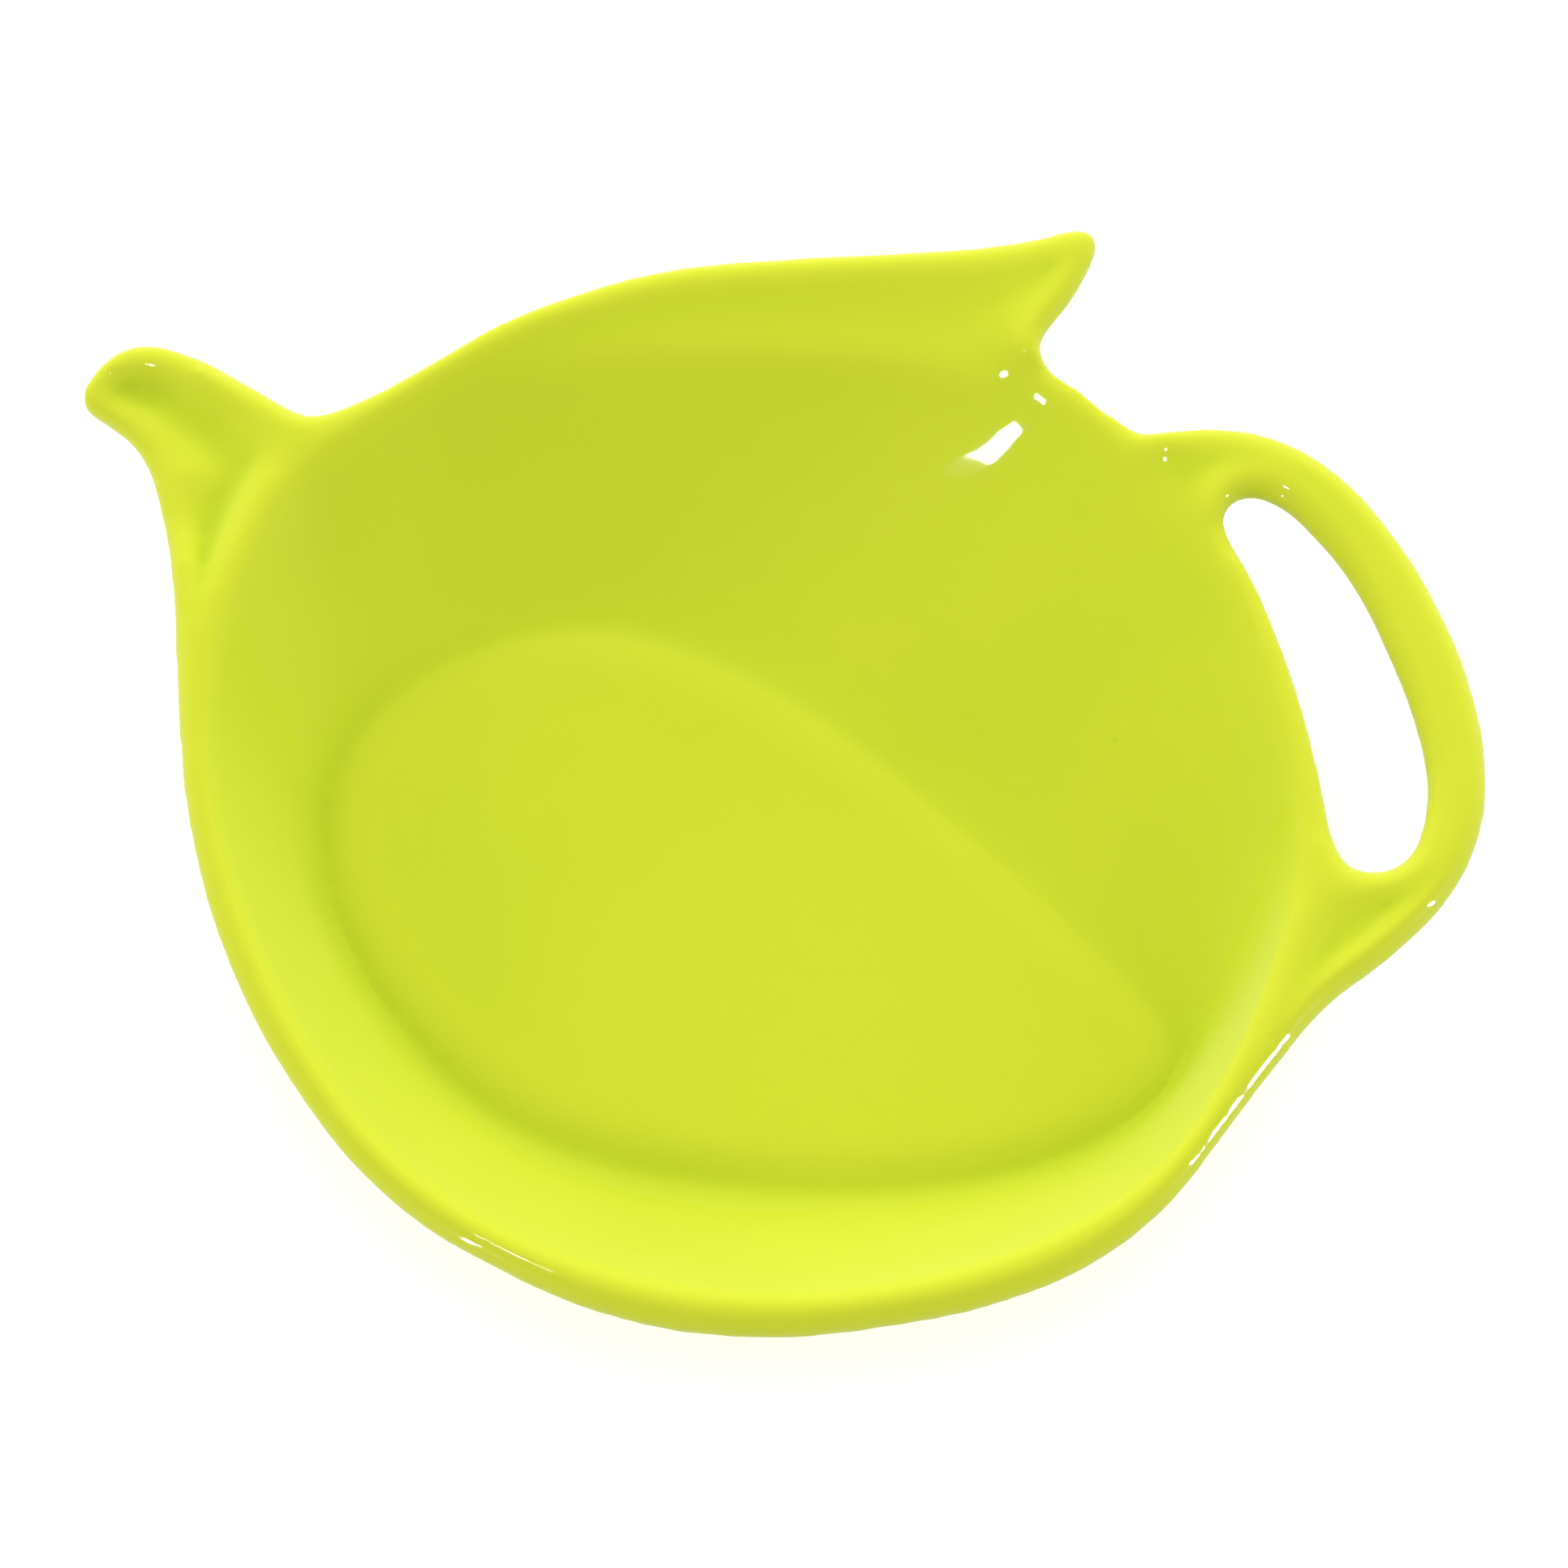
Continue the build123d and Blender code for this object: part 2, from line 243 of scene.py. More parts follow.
class TeaRestSizes(bpy.types.PropertyGroup):
    """Sizes of the dish that a maker would change."""

    flange_thickness: FloatProperty(
        name="Flange Thickness", description="Thickness of spout, lid and handle",
        default=4.6 * MM, min=0.001, unit="LENGTH", subtype="DISTANCE", precision=4)
    lip_radius: FloatProperty(
        name="Lip Radius", description="Rounding of the outline and of the finger gap",
        default=2.1 * MM, min=0.0002, unit="LENGTH", subtype="DISTANCE", precision=4)
    floor_height: FloatProperty(
        name="Floor Height", description="Height of the floor at the foot of the bowl's wall",
        default=4.4 * MM, min=0.001, unit="LENGTH", subtype="DISTANCE", precision=4)
    floor_rise: FloatProperty(
        name="Floor Rise", description="How far the egg-shaped middle of the floor stands up",
        default=0.85 * MM, min=0.0, unit="LENGTH", subtype="DISTANCE", precision=5)
    wall_margin: FloatProperty(
        name="Wall Margin", description="How far the outer wall stands outside the inner one",
        default=1.6 * MM, min=0.0, unit="LENGTH", subtype="DISTANCE", precision=4)
    foot_width: FloatProperty(
        name="Foot Width", description="Width of the ring that the dish stands on",
        default=4.0 * MM, min=0.001, unit="LENGTH", subtype="DISTANCE", precision=4)
    foot_height: FloatProperty(
        name="Foot Height", description="Depth of the recess inside the foot",
        default=1.4 * MM, min=0.0, unit="LENGTH", subtype="DISTANCE", precision=4)
    edge_width: FloatProperty(
        name="Edge Width", description="Width of the raised edge along spout, lid and handle",
        default=1.0 * MM, min=0.0, unit="LENGTH", subtype="DISTANCE", precision=4)
    ridge_width: FloatProperty(
        name="Ridge Width", description="Width of the ridge between spout and bowl",
        default=0.8 * MM, min=0.0, unit="LENGTH", subtype="DISTANCE", precision=4)
    hollow_slope: FloatProperty(
        name="Hollow Slope", description="Width over which the hollows of the flange sink",
        default=1.6 * MM, min=0.0002, unit="LENGTH", subtype="DISTANCE", precision=4)
    clay_grain: FloatProperty(
        name="Clay Grain", description="Edge length of the finished mesh",
        default=0.56 * MM, min=0.0002, unit="LENGTH", subtype="DISTANCE", precision=5)
    sponge_rounds: IntProperty(
        name="Sponge Rounds", description="How often the soft clay is smoothed all over",
        default=18, min=0, max=60)
    glaze_ripple: FloatProperty(
        name="Glaze Ripple", description="Height of the slow waves in the glaze",
        default=0.05 * MM, min=0.0, unit="LENGTH", subtype="DISTANCE", precision=5)


class TeaRestGlaze(bpy.types.PropertyGroup):
    """Colours and gloss of the glaze."""

    glaze_colour: FloatVectorProperty(
        name="Glaze Colour", description="Lime green of the glaze at its usual thickness",
        default=(0.6, 0.7, 0.019, 1.0), size=4, min=0.0, max=1.0, subtype="COLOR")
    # Partly the green of pooled glaze and partly painted shade in hollows and creases; the pinholes take it
    # too
    pool_and_shade_colour: FloatVectorProperty(
        name="Pool And Shade Colour", description="Deeper green where the glaze gathers",
        default=(0.50, 0.63, 0.011, 1.0), size=4, min=0.0, max=1.0, subtype="COLOR")
    thin_colour: FloatVectorProperty(
        name="Thin Colour", description="Yellower green where the glaze runs thin over an edge",
        default=(0.64, 0.712, 0.024, 1.0), size=4, min=0.0, max=1.0, subtype="COLOR")
    clay_colour: FloatVectorProperty(
        name="Clay Colour", description="Bare clay under the foot",
        default=(0.76, 0.69, 0.58, 1.0), size=4, min=0.0, max=1.0, subtype="COLOR")
    gloss_roughness: FloatProperty(
        name="Gloss Roughness", description="Roughness of the glaze's surface",
        default=0.36, min=0.0, max=1.0, subtype="FACTOR")


class TeaRestStage(bpy.types.PropertyGroup):
    """Light, floor and camera."""

    camera_elevation: FloatProperty(
        name="Camera Elevation", description="Height of the camera above the horizon",
        default=math.radians(70.0), subtype="ANGLE")
    camera_distance: FloatProperty(
        name="Camera Distance", description="From the camera to the dish",
        default=0.6, min=0.1, unit="LENGTH", subtype="DISTANCE")
    key_power: FloatProperty(
        name="Key Power", description="Power of the wide lamp behind the dish",
        default=9.0, min=0.0, unit="POWER")
    side_power: FloatProperty(
        name="Side Power", description="Power of the two soft boxes left and right",
        default=4.4, min=0.0, unit="POWER")
    glint_power: FloatProperty(
        name="Glint Power", description="Power of each narrow lamp that only shows as a glint in the glaze",
        default=4.5, min=0.0, unit="POWER")
    fill_strength: FloatProperty(
        name="Fill Strength", description="Brightness of the room round the dish",
        default=0.82, min=0.0, max=1.0, subtype="FACTOR")
    floor_colour: FloatVectorProperty(
        name="Floor Colour", description="Plain pale floor",
        default=(0.86, 0.86, 0.85, 1.0), size=4, min=0.0, max=1.0, subtype="COLOR")


def smooth_ring(places, count):
    """Even run of points along a closed curve that bends smoothly through the places, in metres."""
    given = np.array(places, dtype=float) * MM

    # The blend below flattens every wave in the places by this much, so they are raised by it first
    damping = (2 + np.cos(2 * np.pi * np.fft.fftfreq(len(given)))) / 3
    weights = np.fft.ifft(np.fft.fft(given, axis=0) / damping[:, None], axis=0).real
    steps = np.arange(count * FINE_STEPS) * len(given) / (count * FINE_STEPS)
    base = np.floor(steps).astype(int)
    part = (steps - base)[:, None]
    blend = [(1 - part) ** 3 / 6, (3 * part**3 - 6 * part**2 + 4) / 6,
             (-3 * part**3 + 3 * part**2 + 3 * part + 1) / 6, part**3 / 6]
    curve = sum(blend[k] * weights[(base + k - 1) % len(given)] for k in range(4))
    return curve[::FINE_STEPS]


def inset_ring(ring, inset):
    """The ring moved inwards, square to its own run."""
    along = np.roll(ring, -1, axis=0) - np.roll(ring, 1, axis=0)
    along /= np.linalg.norm(along, axis=1)[:, None]
    area = np.sum(ring[:, 0] * np.roll(ring[:, 1], -1) - np.roll(ring[:, 0], -1) * ring[:, 1])
    inwards = np.stack([-along[:, 1], along[:, 0]], axis=1) * math.copysign(1.0, area)
    return ring + inwards * inset


def around(values):
    """A value given at each place of the wall's foot, blended smoothly to every point of a ring."""
    return smooth_ring([(each, 0.0) for each in values], RING_POINTS)[:, :1] / MM


def bowl_ring(run, inset=0.0):
    """Outline of the bowl between the foot of its wall (0) and its mouth (1)."""
    foot = smooth_ring(WALL_FOOT, RING_POINTS)
    mouth = smooth_ring(MOUTH, RING_POINTS)
    return inset_ring(foot + (mouth - foot) * run**around(WALL_STRAIGHTNESS), inset)


def only(piece):
    """Makes the piece the only selected and the active one."""
    bpy.ops.object.select_all(action="DESELECT")
    piece.select_set(True)
    bpy.context.view_layer.objects.active = piece


def apply_modifier(piece, kind, **settings):
    """Adds a modifier with its settings and applies it."""
    only(piece)
    modifier = piece.modifiers.new(kind.title(), kind)
    for name, value in settings.items():
        setattr(modifier, name, value)
    bpy.ops.object.modifier_apply(modifier=modifier.name)


def raise_rings(name, rings):
    """A closed body through a run of rings, each extruded from the one before."""
    bpy.ops.object.select_all(action="DESELECT")
    bpy.ops.mesh.primitive_circle_add(vertices=RING_POINTS, radius=0.01, fill_type="NGON")
    body = bpy.context.object
    body.name = name
    bpy.ops.object.mode_set(mode="EDIT")
    bpy.ops.mesh.select_all(action="SELECT")
    shape = bmesh.from_edit_mesh(body.data)
    shape.verts.ensure_lookup_table()
    level = list(shape.verts)
    for index, (ring, heights) in enumerate(rings):
        if index:
            bpy.ops.mesh.extrude_region_move()
            shape = bmesh.from_edit_mesh(body.data)
            shape.verts.ensure_lookup_table()
            level = list(shape.verts)[-RING_POINTS:]
        for vertex, place, height in zip(level, ring, np.broadcast_to(heights, RING_POINTS)):
            vertex.co = (place[0], place[1], height)
        bmesh.update_edit_mesh(body.data)
    bpy.ops.mesh.select_all(action="SELECT")
    bpy.ops.mesh.normals_make_consistent(inside=False)
    bpy.ops.object.mode_set(mode="OBJECT")
    return body


def draw_plate(sizes):
    """The teapot's outline with its finger gap, as thick as the flange."""
    drawing = bpy.data.curves.new("teapot_outline", "CURVE")
    drawing.dimensions = "2D"
    drawing.fill_mode = "BOTH"
    drawing.resolution_u = OUTLINE_STEPS
    for places in (OUTLINE, FINGER_GAP):
        line = drawing.splines.new("BEZIER")
        line.bezier_points.add(len(places) - 1)
        for point, place in zip(line.bezier_points, places):
            point.co = (place[0] * MM, place[1] * MM, 0.0)
            point.handle_left_type = "AUTO"
            point.handle_right_type = "AUTO"
        line.use_cyclic_u = True
    drawing.extrude = sizes.flange_thickness / 2
    plate = bpy.data.objects.new("flange", drawing)
    bpy.context.scene.collection.objects.link(plate)
    only(plate)
    bpy.ops.object.convert(target="MESH")
    plate = bpy.context.object
    plate.data.transform(Matrix.Translation((0, 0, RIM_HEIGHT - sizes.flange_thickness / 2)))
    bpy.ops.object.mode_set(mode="EDIT")
    bpy.ops.mesh.select_all(action="SELECT")
    bpy.ops.mesh.remove_doubles(threshold=TINY)
    bpy.ops.mesh.normals_make_consistent(inside=False)
    bpy.ops.object.mode_set(mode="OBJECT")
    return plate


def sharp_runs(plate):
    """The short straight runs of the plate's sharp top edges, in plan."""
    shape = bmesh.new()
    shape.from_mesh(plate.data)
    runs = []
    for edge in shape.edges:
        level = min(vertex.co.z for vertex in edge.verts) > RIM_HEIGHT - RIM_TOLERANCE
        if level and edge.is_manifold and edge.calc_face_angle() > SHARP_ANGLE:
            runs.append([vertex.co.xy[:] for vertex in edge.verts])
    shape.free()
    return np.array(runs)


def read_points(piece, what="co"):
    """The places or normals of the piece's points, one row each."""
    values = np.empty(len(piece.data.vertices) * 3)
    piece.data.vertices.foreach_get(what, values)
    return values.reshape(-1, 3)


def write_points(piece, spots):
    """Moves the piece's points to the given places."""
    piece.data.vertices.foreach_set("co", spots.ravel())
    piece.data.update()


def distance(spots, runs):
    """How far each point lies in plan from the nearest of the runs."""
    nearest = np.full(len(spots), FAR)
    for start, end in runs:
        run = end - start
        share = np.clip(((spots[:, :2] - start) @ run) / (run @ run), 0, 1)
        apart = spots[:, :2] - start - share[:, None] * run
        nearest = np.minimum(nearest, np.hypot(apart[:, 0], apart[:, 1]))
    return nearest


def winding(spots, ring):
    """How often the ring goes round each point in plan: 1 inside, 0 outside."""
    turns = np.zeros(len(spots))
    for start, end in zip(ring, np.roll(ring, -1, axis=0)):
        one, two = start - spots[:, :2], end - spots[:, :2]
        cross = one[:, 0] * two[:, 1] - one[:, 1] * two[:, 0]
        turns += np.arctan2(cross, (one * two).sum(axis=1))
    return np.abs(turns) / (2 * np.pi)


def mouth_drop():
    """How far the mouth's edge lies below the rim, at every point of the mouth."""
    return np.clip(around(MOUTH_DROP), 0, None) * MM


def flange_drop(spots, from_edge, sizes):
    """How far the top of the flange lies below the rim at each point outside the bowl's mouth."""
    mouth = bowl_ring(1.0)
    from_mouth = distance(spots, zip(mouth, np.roll(mouth, -1, axis=0)))
    apart = np.hypot(spots[:, :1] - mouth[:, 0], spots[:, 1:2] - mouth[:, 1])
    near = (apart + TINY) ** NEARNESS_POWER
    drop = (near @ mouth_drop())[:, 0] / near.sum(axis=1)
    room = np.clip(from_edge - sizes.edge_width, 0, None)
    share = room / (room + from_mouth + TINY)
    drop *= 1 - (1 - share) ** EASE_POWER
    room = np.clip(np.minimum(room, from_mouth - sizes.ridge_width), 0, None)
    free = 1 - np.exp(-(room / sizes.hollow_slope) ** 2)
    for hollows, share in ((CLOSED_HOLLOWS, free), (OPEN_HOLLOWS, 1.0)):
        for places, depth, reach in hollows:
            line = np.array(places) * MM
            apart = distance(spots, zip(line, line[1:])) / (reach * MM)
            drop += share * depth * MM * np.exp(-apart**2)
    outside = winding(spots, mouth) < 0.5
    return drop * outside


def shape_flange(piece, runs, sizes):
    """Lowers lid, spout and handle towards the bowl, and rolls the edges of the outline and the gap."""
    radius = sizes.lip_radius
    bottom = RIM_HEIGHT - sizes.flange_thickness
    spots = read_points(piece)
    band = np.flatnonzero(spots[:, 2] > bottom - FLANGE_MARGIN)
    from_edge = distance(spots[band], runs)
    drop = flange_drop(spots[band], from_edge, sizes)
    inset = np.clip(from_edge, 0, radius)
    roll = radius - np.sqrt(radius**2 - (radius - inset) ** 2)
    height = spots[band, 2]
    facing = read_points(piece, "normal")[band, 2]
    under = (np.abs(height - bottom) < UNDERSIDE_MARGIN) & (facing < FACING_DOWN)
    height[under] -= UNDERSIDE_SHARE * drop[under]
    rolled = inset < radius
    height[rolled] = np.maximum(height, bottom + roll - UNDERSIDE_SHARE * drop)[rolled]
    spots[band, 2] = np.minimum(height, RIM_HEIGHT - np.hypot(roll, drop))
    write_points(piece, spots)


def join(target, tool, operation):
    """Joins or cuts the target with the tool, which is used up."""
    apply_modifier(target, "BOOLEAN", operation=operation, object=tool, solver="EXACT")
    bpy.data.objects.remove(tool)


def weigh(piece, name, weights):
    """A vertex group with the given weights, in even levels from 0 to 1."""
    group = piece.vertex_groups.new(name=name)
    levels = np.round(weights * WEIGHT_LEVELS).astype(int)
    for level in range(1, WEIGHT_LEVELS + 1):
        group.add(np.flatnonzero(levels == level).tolist(), level / WEIGHT_LEVELS, "REPLACE")
    return name


def clear_tree(owner):
    """The owner's node tree, with nothing in it."""
    owner.use_nodes = True
    owner.node_tree.nodes.clear()
    return owner.node_tree


def add_node(tree, kind, inputs=None, **settings):
    """A node with its settings, whose inputs each get a value or another node's output."""
    node = tree.nodes.new(kind)
    for name, value in settings.items():
        setattr(node, name, value)
    for socket, value in (inputs or {}).items():
        if isinstance(value, bpy.types.NodeSocket):
            tree.links.new(value, node.inputs[socket])
        else:
            node.inputs[socket].default_value = value
    return node


def calculate(tree, operation, *values):
    """The result of a Math node."""
    return add_node(tree, "ShaderNodeMath", dict(enumerate(values)), operation=operation).outputs["Value"]


def map_range(tree, value, given, wanted=(0.0, 1.0)):
    """The value, moved from the given range to the wanted one."""
    return add_node(tree, "ShaderNodeMapRange", {
        "Value": value, "From Min": given[0], "From Max": given[1],
        "To Min": wanted[0], "To Max": wanted[1],
    }).outputs["Result"]


def mix_colours(tree, share, first, second):
    """The first colour, which turns to the second as the share rises."""
    inputs = {MIX_SHARE: share, MIX_FIRST: first, MIX_SECOND: second}
    return add_node(tree, "ShaderNodeMix", inputs, data_type="RGBA").outputs[MIX_RESULT]


def make_glaze(look):
    """Lime-green glaze over pale clay: thin on edges, darker in hollows from pooled glaze and painted
    shade, with faint pinholes.
    """
    material = bpy.data.materials.new("lime_glaze")
    tree = clear_tree(material)
    place = add_node(tree, "ShaderNodeTexCoord").outputs["Object"]

    # Thickness of the glaze: it leaves convex edges and gathers in hollows, where the darker colour also
    # stands in for painted shade in creases such as the groove round the raised floor
    hollow = add_node(tree, "ShaderNodeAttribute", attribute_name="hollow").outputs["Fac"]
    pool_and_shade = map_range(tree, hollow, (POOL_AND_SHADE_DEPTH, -POOL_AND_SHADE_DEPTH))
    drift = add_node(tree, "ShaderNodeTexNoise", {
        "Vector": place, "Scale": DRIFT_SCALE, "Detail": DRIFT_DETAIL,
    }).outputs["Fac"]
    spread = map_range(tree, drift, DRIFT_RANGE, (-DRIFT_SHARE, DRIFT_SHARE))
    colours = add_node(tree, "ShaderNodeValToRGB", {"Fac": calculate(tree, "ADD", pool_and_shade, spread)})
    ramp = colours.color_ramp
    ramp.elements[0].position = POOL_AND_SHADE_AT
    ramp.elements[0].color = look.pool_and_shade_colour
    ramp.elements[1].position = THIN_AT
    ramp.elements[1].color = look.thin_colour
    ramp.elements.new(USUAL_AT).color = look.glaze_colour

    # Pinholes: a few tiny darker points
    cells = add_node(tree, "ShaderNodeTexVoronoi", {"Vector": place, "Scale": PINHOLE_SCALE})
    dot = map_range(tree, cells.outputs["Distance"], PINHOLE_EDGE, (1.0, 0.0))
    chance = add_node(tree, "ShaderNodeSeparateColor", {"Color": cells.outputs["Color"]}).outputs["Red"]
    few = calculate(tree, "GREATER_THAN", chance, PINHOLE_RARITY)
    pinholes = calculate(tree, "MULTIPLY", dot, few)
    speckled = mix_colours(tree, pinholes, colours.outputs["Color"], look.pool_and_shade_colour)

    # Bare clay on the underside of the foot, where the glaze was wiped off
    height = add_node(tree, "ShaderNodeSeparateXYZ", {"Vector": place}).outputs["Z"]
    uneven = calculate(tree, "MULTIPLY_ADD", drift, WIPED_WOBBLE, height)
    wiped = map_range(tree, uneven, WIPED_HEIGHT, (1.0, 0.0))

    # The glaze's skin: slow ripples and sunken pinholes
    ripple = add_node(tree, "ShaderNodeTexNoise", {
        "Vector": place, "Scale": RIPPLE_SCALE, "Detail": RIPPLE_DETAIL,
    }).outputs["Fac"]
    bump = add_node(tree, "ShaderNodeBump", {
        "Strength": 1.0, "Distance": RIPPLE_HEIGHT,
        "Height": calculate(tree, "SUBTRACT", ripple, pinholes),
    })

    shader = add_node(tree, "ShaderNodeBsdfPrincipled", {
        "Base Color": mix_colours(tree, wiped, speckled, look.clay_colour),
        "Roughness": map_range(tree, wiped, (0.0, 1.0), (look.gloss_roughness, CLAY_ROUGHNESS)),
        "Normal": bump.outputs["Normal"],
        "IOR": GLAZE_IOR,
        "Coat Weight": COAT_WEIGHT,
        "Coat Roughness": COAT_ROUGHNESS,
        "Sheen Weight": HAZE_WEIGHT,
        "Sheen Roughness": HAZE_ROUGHNESS,
    })
    add_node(tree, "ShaderNodeOutputMaterial", {"Surface": shader.outputs["BSDF"]})
    return material


def soften_seams(piece):
    """Smooths the mouth of the bowl and the step round its raised floor more than the rest."""
    spots = read_points(piece)
    soft = np.zeros(len(spots))
    for run, low, high, reach in SEAMS:
        ring = bowl_ring(run)[::2]
        level = np.flatnonzero((spots[:, 2] > low) & (spots[:, 2] < high + SEAM_MARGIN))
        apart = distance(spots[level], zip(ring, np.roll(ring, -1, axis=0)))
        soft[level] = np.maximum(soft[level], np.clip(SEAM_WEIGHT - apart / reach, 0, 1))
    group = weigh(piece, "soft", soft)
    apply_modifier(piece, "SMOOTH", factor=SPONGE_FACTOR, iterations=SEAM_ROUNDS, vertex_group=group)


def mark_hollows(piece):
    """Keeps how far each point lies in a hollow, in millimetres. Below 0 it stands on an edge."""
    only(piece)
    bpy.ops.object.duplicate()
    softened = bpy.context.object
    apply_modifier(softened, "SMOOTH", factor=SPONGE_FACTOR, iterations=HOLLOW_ROUNDS)
    lift = read_points(softened) - read_points(piece)
    depth = (lift * read_points(piece, "normal")).sum(axis=1) / MM
    bpy.data.objects.remove(softened)
    # This depth darkens the glaze colour in hollows: partly pooled glaze, partly painted shade
    piece.data.attributes.new("hollow", "FLOAT", "POINT").data.foreach_set("value", depth)


def model_dish(sizes):
    """The whole dish, from its flange and bowl to the sponged and rippled surface."""
    floor = sizes.floor_height
    rise = RIM_HEIGHT - mouth_drop()[:, 0] - floor
    dish = draw_plate(sizes)
    runs = sharp_runs(dish)

    # The outer wall widens from the foot to the underside of the flange
    top = RIM_HEIGHT - sizes.flange_thickness / 2
    outer = [(bowl_ring(run, -sizes.wall_margin), top * share) for run, share in OUTER_WALL]
    join(dish, raise_rings("outer_wall", outer), "UNION")

    # The hollow of the bowl, with the raised egg in its floor
    hollow = [(bowl_ring(0.0, inset * MM), floor + sizes.floor_rise * share)
              for inset, share in FLOOR_STEP]
    hollow += [(bowl_ring(run), floor + rise * share) for run, share in INNER_WALL]
    hollow.append((bowl_ring(HOLLOW_END_RUN), RIM_HEIGHT + HOLLOW_END_LIFT))
    join(dish, raise_rings("bowl_hollow", hollow), "DIFFERENCE")

    # The recess inside the foot
    recess = [(bowl_ring(0.0, sizes.foot_width - sizes.wall_margin), -sizes.foot_height),
              (bowl_ring(0.0, sizes.foot_width - sizes.wall_margin), 0.0),
              (bowl_ring(0.0, sizes.foot_width), sizes.foot_height)]
    join(dish, raise_rings("foot_recess", recess), "DIFFERENCE")

    # One skin of clay, its flange shaped and its edges rolled, and everything sponged
    apply_modifier(dish, "REMESH", mode="VOXEL", voxel_size=sizes.clay_grain, adaptivity=0.0)
    shape_flange(dish, runs, sizes)
    apply_modifier(dish, "REMESH", mode="VOXEL", voxel_size=sizes.clay_grain, adaptivity=0.0)
    apply_modifier(dish, "SMOOTH", factor=SPONGE_FACTOR, iterations=sizes.sponge_rounds)
    soften_seams(dish)
    dish.vertex_groups.clear()
    mark_hollows(dish)

    # Slow waves, up and down by half their height
    waves = bpy.data.textures.new("glaze_waves", "CLOUDS")
    waves.noise_scale = WAVE_SCALE
    waves.noise_depth = 1
    apply_modifier(dish, "DISPLACE", texture=waves, texture_coords="LOCAL",
                   strength=sizes.glaze_ripple, mid_level=0.5)
    bpy.data.textures.remove(waves)
    return dish


def fit_to_cad(piece):
    """Brings the piece's reach to the reach of the solid it stands for."""
    corners = [Vector(corner) for corner in piece.bound_box]
    low = Vector([min(corner[axis] for corner in corners) for axis in range(3)])
    high = Vector([max(corner[axis] for corner in corners) for axis in range(3)])
    cad_low, cad_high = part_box("dish")
    stretch = [(cad_high[axis] - cad_low[axis]) / (high[axis] - low[axis]) for axis in range(3)]
    shift = Matrix.Translation((cad_low + cad_high) / 2) @ Matrix.Diagonal((*stretch, 1.0))
    piece.data.transform(shift @ Matrix.Translation(-(low + high) / 2))
    piece.data.update()


class TEAREST_OT_dish(bpy.types.Operator):
    """Model and glaze the dish"""

    bl_idname = "tearest.dish"
    bl_label = "Dish"

    def execute(self, context):
        dish = model_dish(context.scene.tea_rest_sizes)

        # Looked at from straight above, the middle of the bowl lies in the lower half of the dish
        above, down = Vector((0.0, 0.0, 2 * RIM_HEIGHT)), Vector((0.0, 0.0, -1.0))
        hit, spot, *_ = dish.ray_cast(above, down)
        if not hit or spot.z > RIM_HEIGHT / 2:
            raise RuntimeError("the bowl wasn't hollowed out")
        fit_to_cad(dish)
        only(dish)
        bpy.ops.object.shade_smooth()
        dish.name = "glazed_dish"
        dish.data.name = "glazed_dish"
        dish.data.materials.clear()
        dish.data.materials.append(make_glaze(context.scene.tea_rest_glaze))
        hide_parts("dish")
        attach(dish, "root")
        return {"FINISHED"}


def add_lamp(name, place, size, power):
    """An area lamp at a place, turned to the dish."""
    bpy.ops.object.select_all(action="DESELECT")
    bpy.ops.object.light_add(type="AREA", location=place)
    lamp = bpy.context.object
    lamp.name = name
    lamp.data.shape = "RECTANGLE"
    lamp.data.size, lamp.data.size_y = size
    lamp.data.energy = power
    lamp.rotation_euler = (Vector(DISH_MIDDLE) - Vector(place)).to_track_quat("-Z", "Y").to_euler()
    return lamp


def make_floor_finish(stage):
    """Pale floor that looks white and still takes the dish's shadow."""
    material = bpy.data.materials.new("pale_floor")
    tree = clear_tree(material)
    board = add_node(tree, "ShaderNodeBsdfDiffuse", {"Color": stage.floor_colour})
    seen = add_node(tree, "ShaderNodeLightPath").outputs["Is Camera Ray"]
    glow = add_node(tree, "ShaderNodeEmission", {"Strength": calculate(tree, "MULTIPLY", seen, FLOOR_GLOW)})
    both = add_node(tree, "ShaderNodeAddShader", {0: board.outputs["BSDF"], 1: glow.outputs["Emission"]})
    add_node(tree, "ShaderNodeOutputMaterial", {"Surface": both.outputs["Shader"]})
    return material


def make_room(strength):
    """A soft room: white where the camera or a reflection sees it, dimmer as light."""
    room = bpy.data.worlds.new("soft_room")
    bpy.context.scene.world = room
    tree = clear_tree(room)
    path = add_node(tree, "ShaderNodeLightPath").outputs
    seen = calculate(tree, "MAXIMUM", path["Is Camera Ray"], path["Is Glossy Ray"])
    seen = calculate(tree, "MAXIMUM", seen, path["Is Transmission Ray"])
    dim = add_node(tree, "ShaderNodeBackground", {"Color": WHITE, "Strength": strength})
    bright = add_node(tree, "ShaderNodeBackground", {"Color": WHITE, "Strength": 1.0})
    mix = add_node(tree, "ShaderNodeMixShader", {
        0: seen, 1: dim.outputs["Background"], 2: bright.outputs["Background"],
    })
    add_node(tree, "ShaderNodeOutputWorld", {"Surface": mix.outputs["Shader"]})


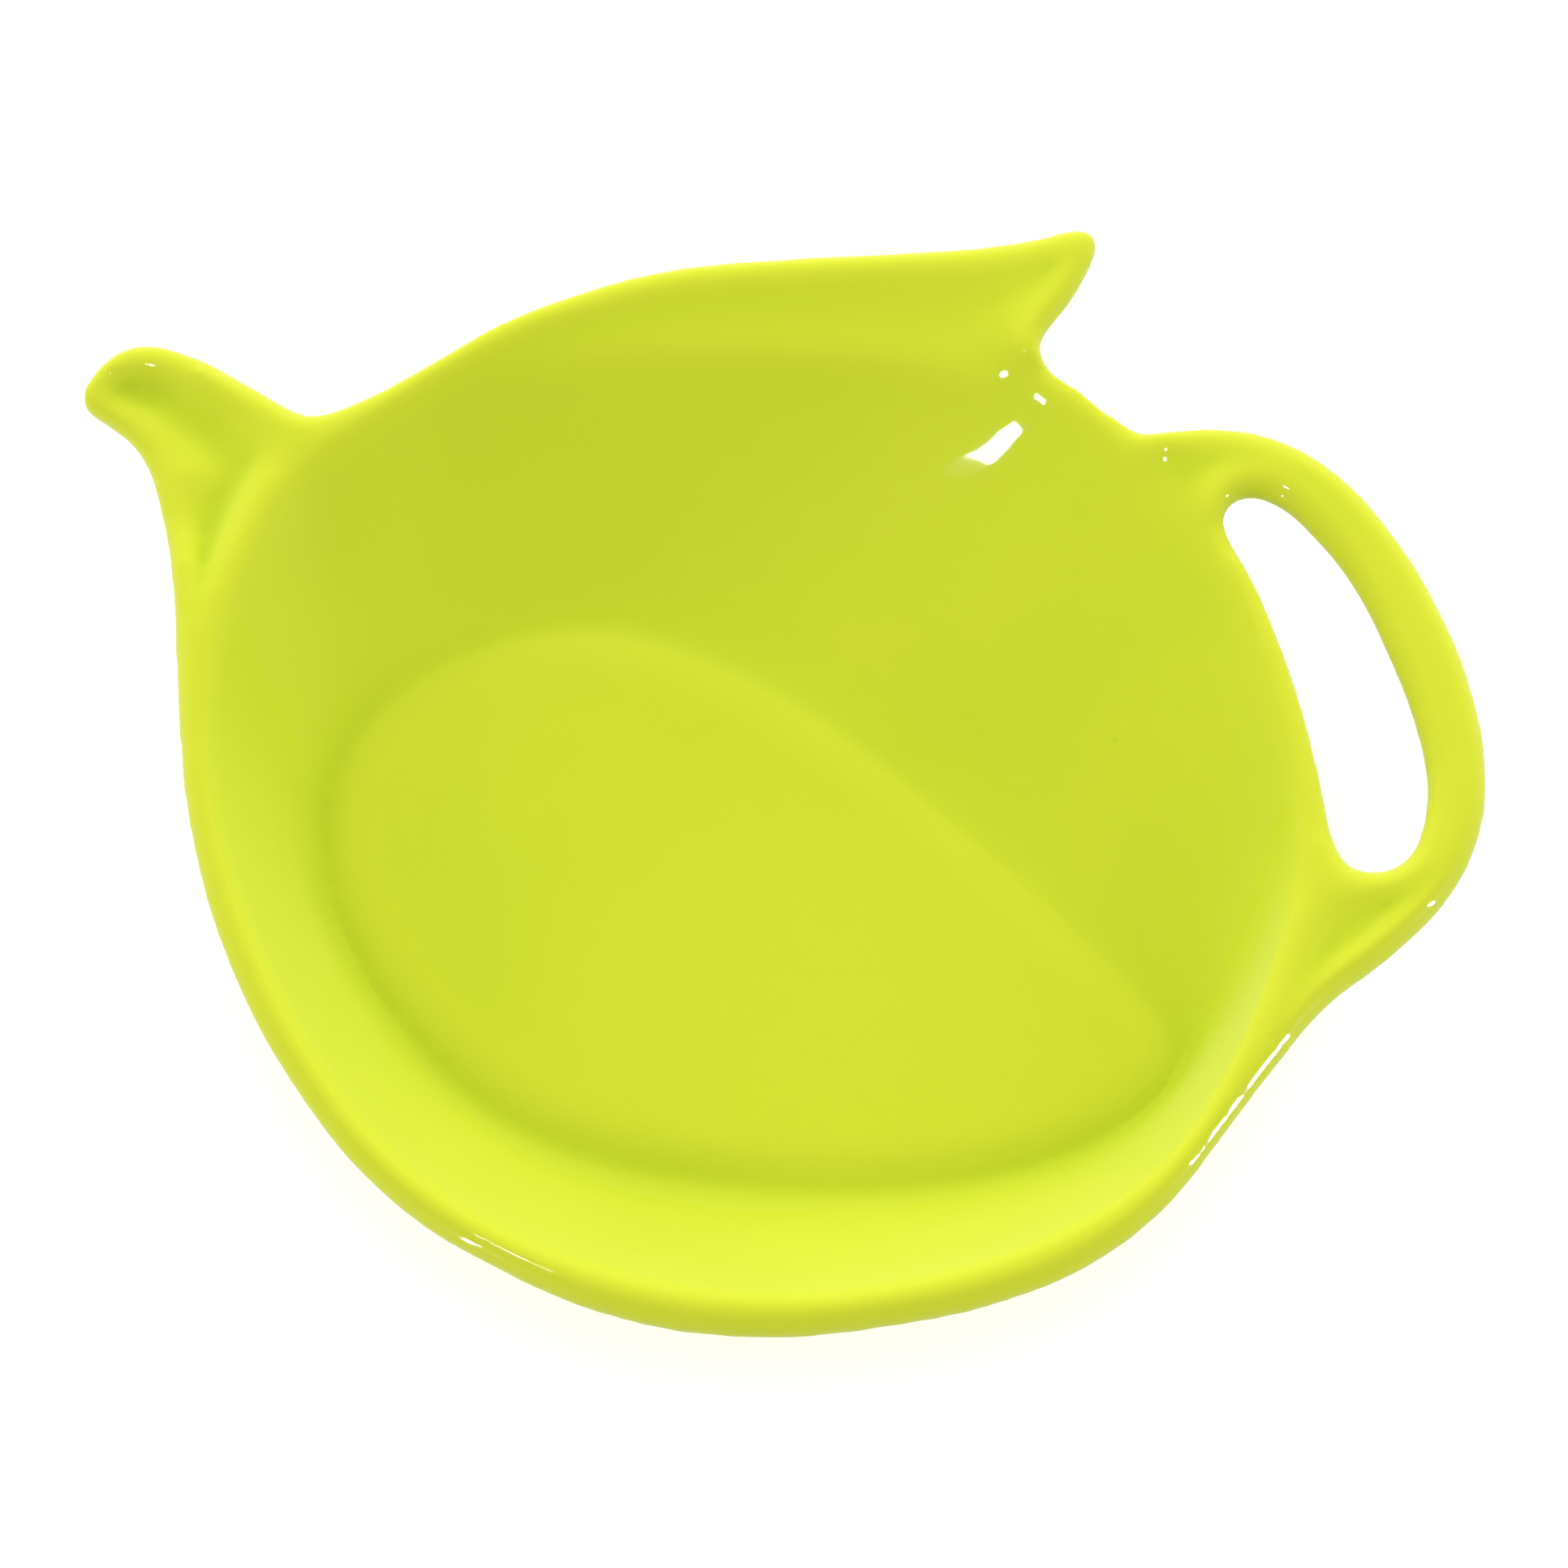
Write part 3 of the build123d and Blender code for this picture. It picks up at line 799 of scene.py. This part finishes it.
class TEAREST_OT_stage(bpy.types.Operator):
    """Set the floor, the lamps and the camera"""

    bl_idname = "tearest.stage"
    bl_label = "Stage"

    def execute(self, context):
        stage = context.scene.tea_rest_stage
        bpy.ops.object.select_all(action="DESELECT")
        bpy.ops.mesh.primitive_plane_add(size=FLOOR_SIZE, location=(0.0, 0.0, 0.0))
        floor = bpy.context.object
        floor.name = "floor"
        floor.data.materials.append(make_floor_finish(stage))
        make_room(stage.fill_strength)

        key = add_lamp("key_lamp", KEY_PLACE, KEY_SIZE, stage.key_power)
        key.data.color = KEY_COLOUR
        key.visible_glossy = False
        for name, place, share in BOXES:
            box = add_lamp(name, place, BOX_SIZE, stage.side_power * share)
            box.visible_glossy = False
        for name, place, size, share in GLINTS:
            glint = add_lamp(name, place, size, stage.glint_power * share)
            glint.visible_diffuse = False

        elevation = stage.camera_elevation
        back = Vector((0.0, -math.cos(elevation), math.sin(elevation)))
        bpy.ops.object.camera_add(location=CAMERA_AIM + back * stage.camera_distance)
        camera = bpy.context.object
        camera.rotation_euler = (-back).to_track_quat("-Z", "Y").to_euler()
        camera.data.sensor_width = CAMERA_SENSOR
        camera.data.lens = CAMERA_LENS
        context.scene.camera = camera
        context.scene.view_settings.view_transform = "Standard"
        return {"FINISHED"}


class TEAREST_PT_panel(bpy.types.Panel):
    """Lists the dish, its glaze and the stage"""

    bl_label = "Tea Rest"
    bl_idname = "TEAREST_PT_panel"
    bl_space_type = "VIEW_3D"
    bl_region_type = "UI"
    bl_category = "Tea Rest"

    def draw(self, context):
        layout = self.layout
        for title, group, operator in (
            ("Dish", context.scene.tea_rest_sizes, "tearest.dish"),
            ("Glaze", context.scene.tea_rest_glaze, None),
            ("Stage", context.scene.tea_rest_stage, "tearest.stage"),
        ):
            box = layout.box()
            box.label(text=title)
            for name in group.__annotations__:
                box.prop(group, name)
            if operator:
                box.operator(operator)


CLASSES = (
    TeaRestSizes, TeaRestGlaze, TeaRestStage, TEAREST_OT_dish, TEAREST_OT_stage, TEAREST_PT_panel,
)


def register():
    """Adds the classes, and their settings to every scene."""
    for each in CLASSES:
        bpy.utils.register_class(each)
    bpy.types.Scene.tea_rest_sizes = PointerProperty(type=TeaRestSizes)
    bpy.types.Scene.tea_rest_glaze = PointerProperty(type=TeaRestGlaze)
    bpy.types.Scene.tea_rest_stage = PointerProperty(type=TeaRestStage)


def unregister():
    """Takes the settings and the classes away again."""
    del bpy.types.Scene.tea_rest_stage
    del bpy.types.Scene.tea_rest_glaze
    del bpy.types.Scene.tea_rest_sizes
    for each in reversed(CLASSES):
        bpy.utils.unregister_class(each)


def main():
    """Makes the dish and the stage."""
    register()
    bpy.ops.tearest.dish()
    bpy.ops.tearest.stage()


if __name__ == "__main__":
    main()
